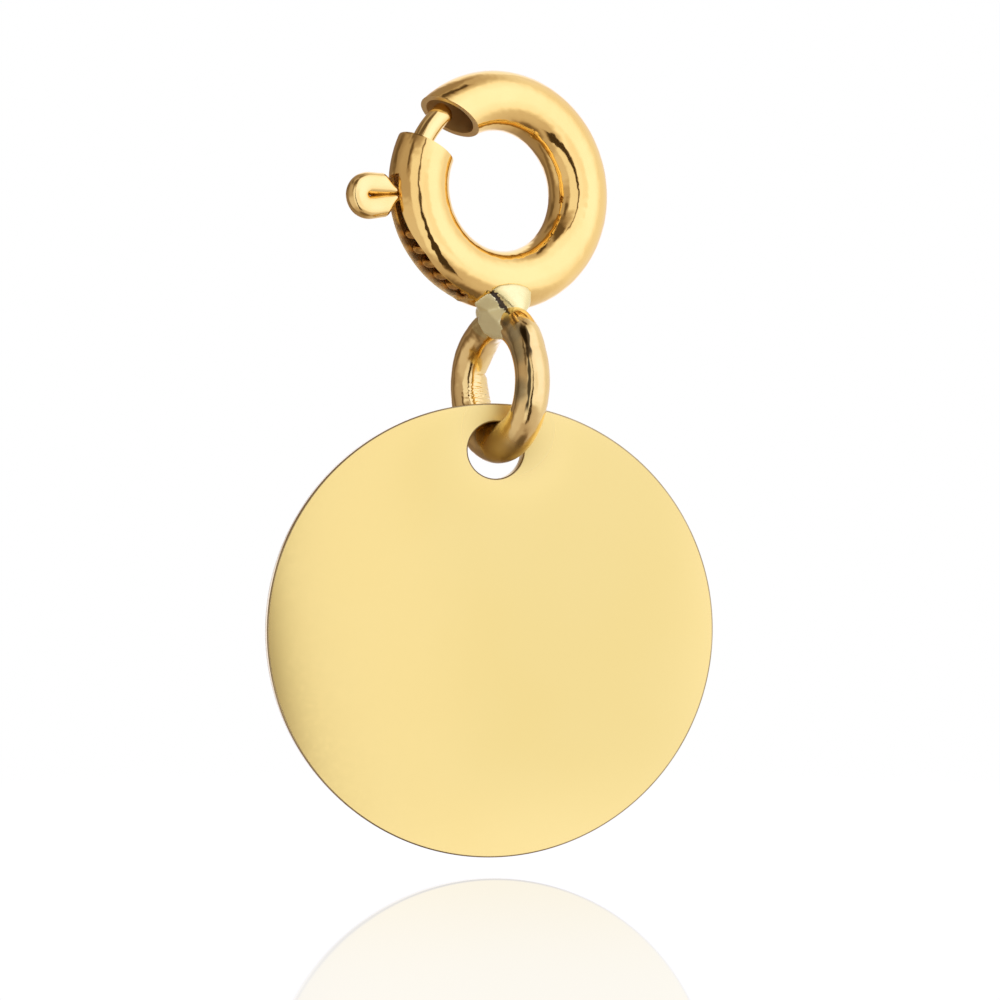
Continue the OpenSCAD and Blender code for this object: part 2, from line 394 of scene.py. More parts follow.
def shared_metal(key):
    """Material of that name, made the first time that it is asked for."""
    found = bpy.data.materials.get(key)
    if found:
        return found
    finish = bpy.context.scene.charm_finishes
    finishes = {
        "clasp_polish": dict(
            colour=finish.clasp_gold, deep=(0.97, 0.67, 0.22), roughness=(0.05, 0.11),
            wave=(3600, 1.1), grain=(16000, 0.006)),
        "bore_raw": dict(
            colour=finish.bore_gold, deep=(0.50, 0.30, 0.08), roughness=(0.5, 0.65),
            wave=(900, 0.0), grain=(2000, 0.0), metallic=0.0),
        "sawn_rim": dict(
            colour=(1.0, 0.80, 0.40), deep=(0.93, 0.68, 0.30), roughness=(0.4, 0.5),
            wave=(3000, 0.3), grain=(9000, 0.02)),
        "link_polish": dict(
            colour=finish.link_gold, deep=(0.86, 0.62, 0.24), roughness=(0.07, 0.16),
            wave=(3200, 1.8), grain=(16000, 0.02),
            flow=(
                ((-0.1, 0.3, -5.0), 0.55, 0.03, finish.solder_gold, 0.2),
                ((-0.1, -0.5, -8.7), 0.85, 0.35, (0.52, 0.36, 0.12), 0.42),
                ((-0.4, 0.25, -8.1), 0.30, 0.15, (0.42, 0.31, 0.12), 0.35),
                ((-0.45, -1.45, -5.5), 0.28, 0.12, (0.50, 0.43, 0.22), 0.2),
                # Painted shade in the corner beside the solder
                PAINTED_CORNER_SHADE,
                ((-0.6, -1.7, -6.0), 0.42, 0.14, (0.47, 0.39, 0.18), 0.2),
                ((-0.65, -1.8, -7.0), 0.42, 0.14, (0.47, 0.38, 0.17), 0.2)),
            # Upright dark lines on the front leg: painted reflections of the dark studio
            streaks=(
                (-0.185, 0.03, -7.4, -5.3, (0.08, 0.055, 0.02)),
                (-0.145, 0.065, -5.98, -5.2, (0.11, 0.075, 0.03))),
            bite=((0.2, 1.55, -6.95), 0.75)),
        "solder_flow": dict(
            colour=finish.solder_gold, deep=(0.90, 0.76, 0.31), roughness=(0.26, 0.42),
            # Painted shade in the corner beside the front leg of the link ring
            wave=(3400, 0.8), grain=(12000, 0.03), flow=(PAINTED_CORNER_SHADE,)),
        # The web's finish: a paler, less metallic copy of the solder, as painted light
        "solder_web_painted_light": dict(
            colour=(1.0, 0.93, 0.48), deep=(0.92, 0.84, 0.42), roughness=(0.28, 0.42),
            # Painted shade in the corner beside the front leg of the link ring
            wave=(3400, 1.5), grain=(12000, 0.05), flow=(PAINTED_CORNER_SHADE,), metallic=0.35),
        "solder_crust": dict(
            colour=(0.09, 0.06, 0.025), deep=(0.04, 0.026, 0.01), roughness=(0.6, 0.8),
            wave=(900, 0.02), grain=(9000, 0.01), metallic=0.0),
        "bolt_polish": dict(
            colour=(1.0, 0.75, 0.29), deep=(0.98, 0.70, 0.24), roughness=(0.08, 0.15),
            wave=(3000, 0.5), grain=(16000, 0.01)),
        "thumb_polish": dict(
            colour=(0.99, 0.73, 0.28), deep=(0.95, 0.66, 0.22), roughness=(0.12, 0.2),
            wave=(3000, 0.5), grain=(16000, 0.01)),
        # Darker, duller gold in the groove between the thumb piece's strands
        "groove_darker": dict(
            colour=(0.80, 0.55, 0.16), deep=(0.70, 0.47, 0.13), roughness=(0.35, 0.45),
            wave=(3000, 0.3), grain=(16000, 0.01)),
        # The spring's finish: brass darkened to orange-brown, painted shade
        "spring_painted_shade": dict(
            colour=finish.spring_gold_with_shade, deep=(0.60, 0.36, 0.10), roughness=(0.28, 0.42),
            wave=(3000, 0.1), grain=(20000, 0.0)),
        # The disc is scuffed duller round its hole, where the ring rubs, and painted a little lighter
        # there: painted light over the shade and dark reflection of the ring
        "disc_polish": dict(
            colour=finish.disc_gold, deep=(0.89, 0.695, 0.238), roughness=(0.11, 0.14),
            wave=(260, 0.04), grain=(7000, 0.002), patch=110,
            flow=(((0.2, 0.0, -7.9), 1.7, 1.0, (0.93, 0.737, 0.266), 0.34),)),
        # The rounded rims are painted dark brown: a painted dark reflection that outlines the disc
        "disc_edge_painted_reflection": dict(
            colour=(0.50, 0.39, 0.18), deep=(0.40, 0.30, 0.13), roughness=(0.25, 0.4),
            wave=(1500, 0.2), grain=(9000, 0.01)),
    }
    return metal(key, **finishes[key])


# Half width of the slot in millimetres at angles in degrees round the clasp
SLOT_HALF_WIDTHS = (
    (176, 0.30), (196, 0.30), (204, 0.36), (211, 0.42), (218, 0.46),
    (228, 0.44), (240, 0.44), (246, 0.42), (248, 0.40), (249, 0.33))
PROFILE_SIDES = 56
# Sides of the tube's profile from its outermost line to the slot's edge
SLOT_SIDES = 5
# The mouth's lower face from the middle of the cut, and how far its upper face is skewed
MOUTH_LOWER = 0.21
MOUTH_SKEW = 0.075
RIM_ROUND = 0.028
# The stop that the spring pushes against: its first angle, degrees between its places, their
# number, and how far it bites into the wall
STOP_ANGLE = 292
STOP_STEP = 1.8
STOP_PLACES = 5
STOP_BITE = 0.01


def slot_edge_angle(place, radius):
    """Angle in degrees off the outermost line of the tube at which the slot's edge lies."""
    return math.degrees(math.asin(table(SLOT_HALF_WIDTHS, place) / radius))


class CHARM_OT_clasp_tube(bpy.types.Operator):
    """Hollow bent tube of the clasp, with its mouth and its slot."""

    bl_idname = "charm.clasp_tube"
    bl_label = "Clasp tube"

    def execute(self, context):
        sizes = context.scene.charm_clasp
        slot = round(math.degrees(sizes.slot_start)), round(math.degrees(sizes.slot_end))
        bm = bmesh.new()
        for radius in (TUBE_R, BORE_R):
            circle(bm, radius, PROFILE_SIDES, Matrix.Translation((RING_R, 0, 0)))
        bmesh.ops.spin(
            bm, geom=bm.edges[:], cent=(0, 0, 0), axis=RING_AXIS, angle=FULL_TURN,
            steps=360, use_merge=True)
        fan = 360 / PROFILE_SIDES * SLOT_SIDES
        inner = set()
        for vert in bm.verts:
            place = clasp_angle(vert.co)
            out = math.hypot(vert.co.x, vert.co.z) - RING_R
            radius = math.hypot(out, vert.co.y)
            if radius < TUBE_R - WALL / 2:
                inner.add(vert)
            round_tube = math.degrees(math.atan2(vert.co.y, out))
            size = abs(round_tube)
            edge = slot_edge_angle(place, radius)
            if size <= fan:
                size *= edge / fan
            else:
                size = edge + (size - fan) * (180 - edge) / (180 - fan)
            turned = math.copysign(deg(size), round_tube)
            vert.co = round_clasp(
                place, RING_R + radius * math.cos(turned), radius * math.sin(turned))
        in_slot = []
        for face in bm.faces:
            middle = face.calc_center_median()
            place = clasp_angle(middle)
            out = math.hypot(middle.x, middle.z) - RING_R
            radius = TUBE_R
            if face.verts[0] in inner:
                radius = BORE_R
                face.material_index = 1
            if slot[0] < place < slot[1]:
                if abs(math.degrees(math.atan2(middle.y, out))) < slot_edge_angle(place, radius):
                    in_slot.append(face)
        bmesh.ops.delete(bm, geom=in_slot, context="FACES")

        along = Vector((math.cos(sizes.mouth_angle), 0, math.sin(sizes.mouth_angle)))
        across = Vector((-along.z, 0, along.x))
        slanted = across + along * MOUTH_SKEW - Vector((0, math.tan(sizes.mouth_slant), 0))
        upper = MOUTH_LOWER - sizes.mouth_w / MM + MOUTH_SKEW * (RING_R - TUBE_R)
        for level, facing in ((MOUTH_LOWER, across), (upper, slanted)):
            near = [f for f in bm.faces if f.calc_center_median().dot(along) > 0]
            parts = dict.fromkeys(near)
            for face in near:
                parts.update(dict.fromkeys([*face.edges, *face.verts]))
            bmesh.ops.bisect_plane(
                bm, geom=list(parts), dist=1e-5, plane_co=facing * (level / facing.length_squared),
                plane_no=facing)
        gone = []
        for face in bm.faces:
            middle = face.calc_center_median()
            in_mouth = middle.dot(across) < MOUTH_LOWER and middle.dot(slanted) > upper
            if middle.dot(along) > 0 and in_mouth:
                gone.append(face)
        bmesh.ops.delete(bm, geom=gone, context="FACES")
        bmesh.ops.recalc_face_normals(bm, faces=bm.faces[:])

        openings = {"upper": [], "lower": [], "slot": []}
        for edge in bm.edges:
            if not edge.is_boundary:
                continue
            middle = (edge.verts[0].co + edge.verts[1].co) / 2
            if middle.dot(along) > 0 and abs(middle.dot(slanted) - upper) < 1e-3:
                openings["upper"].append(edge)
            elif middle.dot(along) > 0 and abs(middle.dot(across) - MOUTH_LOWER) < 1e-3:
                openings["lower"].append(edge)
            else:
                openings["slot"].append(edge)
        rims = [e for edges in openings.values() for e in edges]
        for face in bmesh.ops.bridge_loops(bm, edges=openings["slot"])["faces"]:
            face.material_index = 2
        for cut in ("upper", "lower"):
            made = bmesh.ops.triangle_fill(
                bm, use_beauty=True, use_dissolve=False, edges=openings[cut])["geom"]
            for part in made:
                if isinstance(part, bmesh.types.BMFace):
                    part.material_index = 2
        rims = [e for e in rims if e.is_valid]
        bmesh.ops.recalc_face_normals(bm, faces=bm.faces[:])
        bmesh.ops.bevel(
            bm, geom=rims, offset=RIM_ROUND, offset_type="OFFSET", segments=2, profile=0.5,
            affect="EDGES", material=-1, clamp_overlap=True)
        piece = finish_piece(
            "clasp_tube", bm,
            [shared_metal("clasp_polish"), shared_metal("bore_raw"), shared_metal("sawn_rim")],
            centre=CLASP_CENTRE)
        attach(piece, "clasp")
        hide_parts("clasp_shell")

        bm = bmesh.new()
        places = [
            ring_place(STOP_ANGLE + step * STOP_STEP, RING_R) for step in range(STOP_PLACES)]
        draw_wire(bm, BORE_R + STOP_BITE, 40, places)
        stop = finish_piece("spring_stop", bm, [shared_metal("bore_raw")], centre=CLASP_CENTRE)
        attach(stop, "clasp")
        return {"FINISHED"}


# Growth of the link ring in millimetres at angles from its top, the front leg counting up
SHOULDER_GROWTH = (
    (-160, 0.03), (-120, 0), (-60, 0), (-35, -0.07), (-15, -0.03), (0, 0),
    (12, 0.05), (30, 0.10), (48, 0.09), (65, 0), (120, 0), (160, 0.03))
BOTTOM_GROWTH = ((118, 0), (150, 0.12), (180, 0.145))
FLANGE_GROWTH = (
    (-125, 0), (-106, 0.20), (-92, 0.15), (-80, 0.08), (-76, 0.01), (-74, 0.01),
    (-62, 0.11), (-45, 0.16), (-25, 0.10), (-10, 0))
# The pinched join: its angle, half its breadth in degrees and its depth in millimetres
SEAM_ANGLE = -75
SEAM_HALF = 1.5
SEAM_DEPTH = 0.035


class CHARM_OT_link_ring(bpy.types.Operator):
    """Closed ring of round wire that the disc hangs on, with its pinched join at the back."""

    bl_idname = "charm.link_ring"
    bl_label = "Link ring"

    def execute(self, context):
        sizes = context.scene.charm_clasp
        bm = bmesh.new()
        radius = sizes.link_r / MM
        wire = sizes.link_wire_r / MM
        profile = circle(bm, wire, 48, Matrix.Translation((radius, 0, 0)))
        bmesh.ops.spin(
            bm, geom=edges_of(profile), cent=(0, 0, 0), axis=(0, 1, 0), angle=FULL_TURN,
            steps=360, use_merge=True)
        # While the ring lies in XZ its front leg is at -X, and -Y will be its right side
        for vert in bm.verts:
            out = Vector((vert.co.x, 0, vert.co.z)).normalized()
            facing = (vert.co - out * radius) / wire
            angle = math.degrees(math.atan2(-vert.co.x, vert.co.z))
            outward = max(0.0, facing.dot(out))
            inward = max(0.0, -facing.dot(out))
            seam = max(0.0, 1 - abs(angle - SEAM_ANGLE) / SEAM_HALF) * inward
            seam *= smooth_step(0.1, -0.5, facing.y)
            vert.co += out * outward * table(SHOULDER_GROWTH, angle)
            vert.co -= out * inward * table(BOTTOM_GROWTH, abs(angle))
            vert.co.y += min(0.0, facing.y) * table(FLANGE_GROWTH, angle)
            vert.co -= facing * seam * SEAM_DEPTH
        # The ring is turned to stand in YZ
        turn = Matrix.Rotation(deg(90) + sizes.link_turn, 3, "Z")
        bmesh.ops.rotate(bm, cent=(0, 0, 0), matrix=turn, verts=bm.verts[:])
        piece = finish_piece("link_ring", bm, [shared_metal("link_polish")], centre=LINK_CENTRE)
        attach(piece, "clasp")
        return {"FINISHED"}


# Corners of the flat-sided lumps that the solder froze in, about the clasp's middle
SOLDER_LUMPS = (
    (
        (-0.93, -0.31, -3.05), (-0.80, -0.66, -2.87), (-0.73, -0.76, -2.80), (-0.26, -0.77, -3.15),
        (-0.55, -0.38, -3.26), (-0.59, 0.05, -3.24), (0.30, -0.60, -3.05), (0.35, 0.40, -3.05),
        (-0.40, 0.55, -3.05), (-0.20, 0.50, -3.30)),
    (
        (-0.26, -0.75, -3.15), (-0.55, -0.38, -3.26), (-0.59, 0.05, -3.24), (-0.23, -0.96, -3.39),
        (-0.45, -0.75, -3.58), (-0.53, 0.08, -3.44), (-0.50, 0.29, -3.50), (0.30, -0.80, -3.30),
        (0.30, 0.40, -3.30), (-0.20, 0.65, -3.40), (0.30, -0.50, -3.70), (0.30, 0.30, -3.70)),
    (
        (-0.45, -0.75, -3.58), (-0.50, 0.29, -3.50), (-0.34, -1.30, -4.05), (-0.31, -0.77, -4.00),
        (-0.32, -0.19, -3.97), (-0.43, 0.10, -3.79), (0.30, -0.90, -3.80), (0.28, -0.40, -4.00),
        (0.30, 0.30, -3.85), (0.20, -0.50, -3.40), (0.20, 0.30, -3.40)),
)
# Sections of the bright pad from the clasp ring down: place, half width and half depth
PAD_SECTIONS = (
    ((0.00, -0.74, -2.53), 0.20, 0.06),
    ((-0.01, -0.73, -2.60), 0.46, 0.12),
    ((-0.03, -0.71, -2.72), 0.60, 0.17),
    ((-0.01, -0.68, -2.83), 0.58, 0.21),
    ((0.05, -0.65, -2.94), 0.53, 0.25),
    ((0.10, -0.64, -3.06), 0.45, 0.28),
    ((0.13, -0.66, -3.17), 0.35, 0.27),
    ((0.12, -0.72, -3.28), 0.24, 0.22),
)
# Dome at the hidden back of the solder: its middle and its three half sizes
BACK_DOME = ((0.0, 0.30, -3.20), (0.45, 0.62, 0.42))
# Size of the cells in which the lumps are melted together, and how deep they sink into the tube
MELT_CELL = 0.03
SOLDER_SINK = 0.07
# Line of dark crust along the edge of the pad, its half width, and the groove that it lies in
CRUST_LINE = (
    (-0.76, -0.76, -2.78), (-0.64, -0.82, -2.77), (-0.50, -0.85, -2.93), (-0.35, -0.87, -3.10),
    (-0.16, -0.92, -3.28), (0.11, -0.95, -3.29))
CRUST_HALF = 0.065
CRUST_GROOVE = 0.035
# Waves per millimetre in the ragged edge of the crust
CRUST_WAVES = 14


def off_line(point, line):
    """Distance of a point from a line of straight stretches, with depth counted less."""
    squash = Vector((1, 0.3, 1))
    point = point * squash
    nearest = math.inf
    for a, b in zip(line, line[1:]):
        start = Vector(a) * squash
        step = Vector(b) * squash - start
        share = min(1.0, max(0.0, (point - start).dot(step) / step.length_squared))
        nearest = min(nearest, (point - start - step * share).length)
    return nearest


def melt(bm):
    """Runs the overlapping lumps of a bmesh together into one skin."""
    mesh = bpy.data.meshes.new("melt")
    bm.to_mesh(mesh)
    bm.free()
    body = bpy.data.objects.new("melt", mesh)
    bpy.context.scene.collection.objects.link(body)
    remesh = body.modifiers.new("melt", "REMESH")
    remesh.mode = "VOXEL"
    remesh.voxel_size = MELT_CELL
    graph = bpy.context.evaluated_depsgraph_get()
    melted = bmesh.new()
    melted.from_mesh(body.evaluated_get(graph).to_mesh())
    bpy.data.objects.remove(body)
    bpy.data.meshes.remove(mesh)
    for _ in range(2):
        bmesh.ops.smooth_vert(
            melted, verts=melted.verts[:], factor=0.5,
            use_axis_x=True, use_axis_y=True, use_axis_z=True)
    return melted


class CHARM_OT_solder(bpy.types.Operator):
    """Solder between the clasp ring and the link ring: a bright pad and a flat-sided web."""

    bl_idname = "charm.solder"
    bl_label = "Solder"

    def execute(self, context):
        bm = bmesh.new()
        for corners in SOLDER_LUMPS:
            bmesh.ops.convex_hull(bm, input=[bm.verts.new(corner) for corner in corners])
        places = [
            Matrix.Translation(middle) @ Matrix.Diagonal((width, depth, 1, 1))
            for middle, width, depth in PAD_SECTIONS]
        draw_wire(bm, 1.0, 48, places)
        middle, halves = BACK_DOME
        bmesh.ops.create_icosphere(
            bm, subdivisions=5, radius=1.0,
            matrix=Matrix.Translation(middle) @ Matrix.Diagonal((*halves, 1)))
        bmesh.ops.recalc_face_normals(bm, faces=bm.faces[:])
        bm = melt(bm)
        bm.normal_update()
        for vert in bm.verts:
            middle = round_clasp(clasp_angle(vert.co))
            off = vert.co - middle
            if off.length < TUBE_R - SOLDER_SINK:
                vert.co = middle + off.normalized() * (TUBE_R - SOLDER_SINK)
        # The crust lies in a shallow groove with ragged edges
        for vert in bm.verts:
            ragged = 0.02 * noise.noise(vert.co * CRUST_WAVES)
            dent = smooth_step(0.08, 0.02, off_line(vert.co, CRUST_LINE) + ragged)
            vert.co -= vert.normal * dent * CRUST_GROOVE
        # Below the crust the web takes a paler, less metallic copy of the solder's finish: painted
        # light, standing in for the other light that falls on the web
        seam = [(x, z) for x, y, z in CRUST_LINE]
        for face in bm.faces:
            middle = face.calc_center_median()
            ragged = 0.04 * noise.noise(middle * CRUST_WAVES)
            if off_line(middle, CRUST_LINE) + ragged < CRUST_HALF:
                face.material_index = 1
            elif middle.z < table(seam, middle.x):
                face.material_index = 2
        piece = finish_piece(
            "solder_joint", bm,
            [shared_metal("solder_flow"), shared_metal("solder_crust"), shared_metal("solder_web_painted_light")],
            centre=CLASP_CENTRE)
        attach(piece, "clasp")
        return {"FINISHED"}


# The bolt closed: radius of its middle line, angles where its wire begins and ends, depth of
# its rounded tip
BOLT_LINE_R = 2.58
BOLT_TIP = 127
BOLT_END = 181.2
TIP_DEPTH = 0.15
# Its foot in the tube: radius, first and last angle
FOOT_R = 0.52
FOOT_FROM = 182.6
FOOT_TO = 200.2
# Sections at its two ends: angle, radius of the middle line, radius of the metal
FOOT_SHOULDER = ((181.5, 2.5, 0.46), (181.9, RING_R, 0.5044), (FOOT_FROM, RING_R, FOOT_R))
FOOT_HEEL = ((200.8, RING_R, 0.5044), (201.0, RING_R, 0.468))
# The thumb piece from the clasp's middle out: where its root widens, where it has its full
# width, and the middle of its hairpin bend with the bend's radius
ROOT_AT = 3.07
NECK_AT = 3.47
BEND_AT = 3.89
BEND_R = 0.31
# The flat root of each strand: distance from the middle, half height and half depth
ROOT_OFF = 0.09
ROOT_HEIGHT = 0.105
ROOT_DEPTH = 0.27
# How far the strands are pinched together behind the bend, and over what length
PINCH = 0.035
PINCH_LENGTH = 0.45
# Depth from which the front is pressed flat, and the share of its roundness that is left
FLAT_FRONT = -0.23
FLAT_SHARE = 0.55


class CHARM_OT_bolt(bpy.types.Operator):
    """Bolt of curved wire with its foot and its hairpin thumb piece."""

    bl_idname = "charm.bolt"
    bl_label = "Bolt and thumb piece"

    def execute(self, context):
        sizes = context.scene.charm_bolt
        wire = sizes.wire_r / MM
        tip = BOLT_TIP + math.degrees(TIP_DEPTH / BOLT_LINE_R)
        places = []
        for step in range(11):
            lean = deg(87 * (1 - step / 10))
            back = math.degrees(TIP_DEPTH * math.sin(lean) / BOLT_LINE_R)
            places.append(ring_place(tip - back, BOLT_LINE_R, math.cos(lean)))
        places += [ring_place(angle, BOLT_LINE_R) for angle in spread(tip, BOLT_END, 30)]
        foot = [(angle, RING_R, FOOT_R) for angle in spread(FOOT_FROM, FOOT_TO, 9)]
        for angle, radius, metal_r in (*FOOT_SHOULDER, *foot, *FOOT_HEEL):
            places.append(ring_place(angle, radius, metal_r / wire))
        bm = bmesh.new()
        draw_wire(bm, wire, 36, places)
        piece = finish_piece("bolt_wire", bm, [shared_metal("bolt_polish")], centre=CLASP_CENTRE)
        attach(piece, "bolt")
        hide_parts("bolt")

        strand = sizes.strand_r / MM
        stand = Matrix.Rotation(deg(90), 4, "Y")

        def strand_place(reach):
            full = smooth_step(ROOT_AT, NECK_AT, reach) ** 1.2
            pinch = PINCH * smooth_step(BEND_AT, BEND_AT - PINCH_LENGTH, reach)
            point = Vector((reach, 0, -ROOT_OFF - (BEND_R - pinch - ROOT_OFF) * full))
            height, depth = (
                root / strand + (1 - root / strand) * full for root in (ROOT_HEIGHT, ROOT_DEPTH))
            return Matrix.Translation(point) @ stand @ Matrix.Diagonal((height, depth, 1, 1))

        # Out along the lower strand, round the bend and back along the upper one
        way = [RING_R, ROOT_AT - 0.1, ROOT_AT]
        way += spread(ROOT_AT, NECK_AT, 14) + spread(NECK_AT, BEND_AT, 6)
        places = [strand_place(reach) for reach in way]
        centre = Matrix.Translation((BEND_AT, 0, 0))
        for turn in spread(0, -math.pi, 40):
            bent = centre @ Matrix.Rotation(turn, 4, "Y") @ centre.inverted()
            places.append(bent @ strand_place(BEND_AT))
        for reach in reversed(way[:-1]):
            ahead = Matrix.Translation((2 * (reach - BEND_AT), 0, 0))
            places.append(ahead @ bent @ strand_place(reach))
        bm = bmesh.new()
        draw_wire(bm, strand, 40, places)
        for vert in bm.verts:
            if vert.co.y < FLAT_FRONT:
                vert.co.y = FLAT_FRONT + (vert.co.y - FLAT_FRONT) * FLAT_SHARE
        # Faces in the groove between the strands take the darker, duller finish
        for face in bm.faces:
            middle = face.calc_center_median()
            if abs(middle.z) < PINCH and ROOT_AT < middle.x < BEND_AT:
                face.material_index = 1
        turned = Matrix.Rotation(sizes.thumb_angle, 3, RING_AXIS)
        bmesh.ops.rotate(bm, cent=(0, 0, 0), matrix=turned, verts=bm.verts[:])
        piece = finish_piece(
            "thumb_piece", bm, [shared_metal("thumb_polish"), shared_metal("groove_darker")],
            centre=CLASP_CENTRE)
        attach(piece, "bolt")
        return {"FINISHED"}


# The coil: radius of its middle line, angles of its two ends, and turns before its start
COIL_R = 0.505
COIL_ENDS = (203.5, 289.5)
COIL_PHASE = 0.37


class CHARM_OT_spring(bpy.types.Operator):
    """Coil spring in the tube, built in one fixed shape; on the real clasp it shortens as the bolt is
    drawn back.
    """

    bl_idname = "charm.spring"
    bl_label = "Spring"

    def execute(self, context):
        sizes = context.scene.charm_bolt
        wire = sizes.coil_wire_r / MM
        turns = sizes.coil_turns
        start, end = COIL_ENDS
        steps = round(turns * 28)

        def middle(share):
            turn = FULL_TURN * (turns * share - COIL_PHASE)
            return round_clasp(
                start + (end - start) * share, RING_R + COIL_R * math.cos(turn),
                -COIL_R * math.sin(turn))

        places = []
        for step in range(steps + 1):
            share = step / steps
            along = (middle(share + 1e-4) - middle(share - 1e-4)).normalized()
            out = middle(share) - round_clasp(start + (end - start) * share)
            side = along.cross(out).normalized()
            out = side.cross(along)
            turned = Matrix((out, side, along)).transposed().to_4x4()
            places.append(Matrix.Translation(middle(share)) @ turned)
        bm = bmesh.new()
        draw_wire(bm, wire, 12, places)
        piece = finish_piece("spring_coil", bm, [shared_metal("spring_painted_shade")], centre=CLASP_CENTRE)
        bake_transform(piece)
        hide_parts("spring")
        return {"FINISHED"}


# How far the disc's middle is below the middle of its hole, and the rounding of its rims
DISC_DROP = 4.76
DISC_ROUND = 0.04
# How the disc hangs, in degrees: leant back, and rolled in its own plane
DISC_LEAN = 1.5
DISC_ROLL = 0.5


class CHARM_OT_disc(bpy.types.Operator):
    """Flat polished disc with one hole near its edge."""

    bl_idname = "charm.disc"
    bl_label = "Disc"

    def execute(self, context):
        sizes = context.scene.charm_disc
        half = sizes.thickness / MM / 2
        drop = Matrix.Translation((0, 0, -DISC_DROP))
        stand = Matrix.Rotation(deg(90), 4, "X")
        bm = bmesh.new()
        circle(bm, sizes.radius / MM, 256, drop @ stand)
        circle(bm, sizes.hole_r / MM, 128, stand)
        bmesh.ops.triangle_fill(bm, use_beauty=True, use_dissolve=False, edges=bm.edges[:])
        bmesh.ops.translate(bm, vec=(0, -half, 0), verts=bm.verts[:])
        front = bm.faces[:]
        made = bmesh.ops.extrude_face_region(bm, geom=front, use_keep_orig=True)["geom"]
        moved = [g for g in made if isinstance(g, bmesh.types.BMVert)]
        bmesh.ops.translate(bm, vec=(0, 2 * half, 0), verts=moved)
        bmesh.ops.recalc_face_normals(bm, faces=bm.faces[:])
        rims = [
            e for e in bm.edges
            if len(e.link_faces) == 2 and e.calc_face_angle(0) > deg(60)]
        # The rounding takes the second finish, painted dark as a reflection
        bmesh.ops.bevel(
            bm, geom=rims, offset=DISC_ROUND, offset_type="OFFSET", segments=4, profile=0.5,
            affect="EDGES", material=1, clamp_overlap=True)
        # The disc hangs by its hole: rolled in its own plane, leant back, then turned
        turned = Matrix.Rotation(sizes.turn, 3, "Z")
        leant = Matrix.Rotation(deg(DISC_LEAN), 3, "X")
        rolled = Matrix.Rotation(deg(DISC_ROLL), 3, "Y")
        bmesh.ops.rotate(bm, cent=(0, 0, 0), matrix=turned @ leant @ rolled, verts=bm.verts[:])
        piece = finish_piece(
            "disc_plate", bm, [shared_metal("disc_polish"), shared_metal("disc_edge_painted_reflection")], sharp=25,
            centre=DISC_HOLE_CENTRE)
        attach(piece, "disc")
        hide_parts("disc")
        return {"FINISHED"}


# Studio cards in degrees: azimuth from, to and softness, height from, to and softness, lightness
STUDIO_CARDS = (
    ("left wall", -200, -20, 10, -35, 90, 14, 0.50),
    ("far left", -215, -118, 22, -80, 90, 14, 0.33),
    ("lower front", -10, 140, 30, -62, -30, 14, 0.70),
    ("right tent", 30, 135, 30, -36, 66, 14, 0.93),
    ("far right", 126, 172, 8, -20, 60, 10, 1.08),
    ("front tent", -30, 62, 14, -30, 62, 10, 1.15),
    ("bright middle", 0, 50, 14, -12, 44, 14, 1.28),
    ("left panel", -60, -24, 3, -46, 28, 7, 0.95),
    ("left lower panel", -122, -58, 6, -46, -5, 6, 0.72),
    ("dark upper left", -92, -35, 6, 40, 66, 6, 0.13),
    ("dark left", -152, -100, 7, 42, 52, 5, 0.16),
    ("dark far left", -160, -134, 5, 14, 34, 6, 0.14),
    ("left streak", -76, -65, 3, 16, 40, 5, 0.13),
    ("upper gap", -105, 22, 12, 74, 84, 4, 0.08),
    ("dark behind", 166, 205, 5, -24, 32, 8, 0.24),
    ("glow behind", 168, 179, 5, -8, 7, 3, 1.2),
    ("dark edge", -143, -130, 3, -60, 14, 5, 0.2),
    ("dark floor", -180, 180, 8, -100, -70, 8, 0.18),
    ("quiet front", -22, 10, 6, -16, 13, 6, 1.03),
    ("quiet left", -21, -9, 3, -16, 16, 6, 1.09),
)
ROOM_LEVEL = 0.55
# The dark gap beside the camera: its azimuth, half width high up, growth towards the floor and
# softness in degrees, and its lightness low down and high up
GAP_AZIMUTH = -26.5
GAP_HALF = 2.2
GAP_GROWTH = 14.0
GAP_SOFT = 1.6
GAP_LEVELS = (0.06, 0.2)


